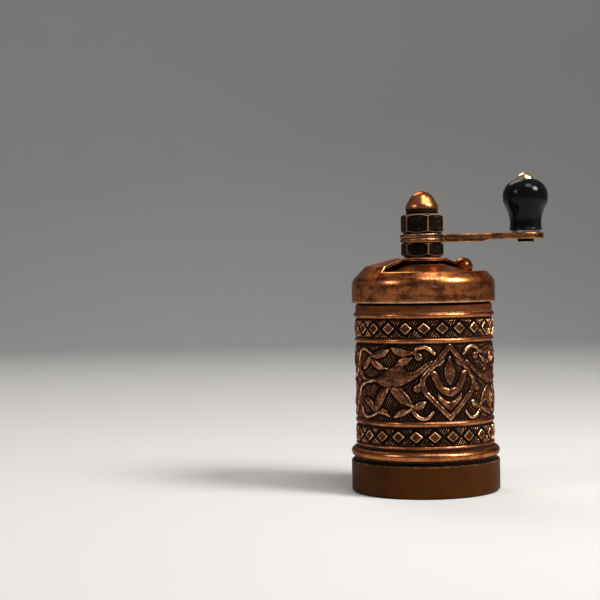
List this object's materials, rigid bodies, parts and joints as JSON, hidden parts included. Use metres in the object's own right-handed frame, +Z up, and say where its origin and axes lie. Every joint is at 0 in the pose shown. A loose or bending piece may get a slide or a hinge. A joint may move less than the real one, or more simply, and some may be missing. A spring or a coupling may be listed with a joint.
{
  "type": "pepper mill",
  "caption": "Small hand-cranked pepper mill with a relief-banded copper body, a domed top with a rotary filling shutter, a steel burr set and a pull-off base cap.",
  "frame": {"origin": "centre of the base cap's foot face, on the mill's axis", "axes": "+Z up along the drive shaft, +X along the crank at rest, -Y the pictured front"},
  "size_m": [0.0501, 0.037, 0.0789],
  "materials": {
    "antique_copper": "antique copper plating on a zinc casting, dark patina in the recesses, bright on worn edges",
    "cap_brown": "satin brown moulded plastic",
    "knob_black": "glossy black",
    "rivet_brass": "polished brass",
    "plain_steel": "turned steel",
    "spring_steel": "spring steel",
    "burr_steel": "hardened burr steel",
    "bush_brass": "machined brass"
  },
  "bodies": {
    "housing": {"body_casting": "antique_copper", "dome_cover": "antique_copper", "top_bush": "bush_brass", "bush_nut": "plain_steel", "shutter_spring": "spring_steel", "bearing_bridge": "plain_steel", "shaft_bearing": "bush_brass", "burr_stator": "burr_steel", "stator_screws": "plain_steel"},
    "foot_cap": {"base_cap": "cap_brown"},
    "shutter": {"shutter_plate": "antique_copper", "shutter_knob": "antique_copper"},
    "crank_shaft": {"drive_shaft": "plain_steel", "lock_nut": "antique_copper", "crank_washer": "antique_copper", "crank_arm": "antique_copper", "acorn_nut": "antique_copper", "knob_rivet": "rivet_brass", "knob_washer": "plain_steel", "rivet_collar": "antique_copper", "retaining_clip": "plain_steel"},
    "hand_grip": {"crank_knob": "knob_black"},
    "inner_burr": {"burr_rotor": "burr_steel", "adjust_washer": "plain_steel", "burr_spring": "spring_steel"},
    "grind_adjuster": {"adjusting_nut": "bush_brass"}
  },
  "joints": [
    {"name": "crank_turn", "type": "hinge", "parent": "housing", "child": "crank_shaft", "pos_m": [0, 0, 0.0628], "axis": [0, 0, 1], "continuous": true},
    {"name": "grip_spin", "type": "hinge", "parent": "crank_shaft", "child": "hand_grip", "pos_m": [0.0259, 0, 0.0707], "axis": [0, 0, 1], "continuous": true},
    {"name": "shutter_swing", "type": "hinge", "parent": "housing", "child": "shutter", "pos_m": [0, 0, 0.0565], "axis": [0, 0, -1], "range_deg": [0, 130]},
    {"name": "cap_pull", "type": "slide", "parent": "housing", "child": "foot_cap", "axis": [0, 0, -1], "range_m": [0, 0.02]},
    {"name": "burr_lift", "type": "slide", "parent": "crank_shaft", "child": "inner_burr", "axis": [0, 0, 1], "range_m": [-0.00075, 0.00025], "deforming": ["burr_spring"]},
    {"name": "grind_adjust", "type": "hinge", "parent": "inner_burr", "child": "grind_adjuster", "pos_m": [0, 0, 0.0048], "axis": [0, 0, 1], "range_deg": [-541, 181]}
  ],
  "couplings": [
    {"joint": "grind_adjust", "follows": "burr_lift", "rad_per_m": 12566}
  ]
}
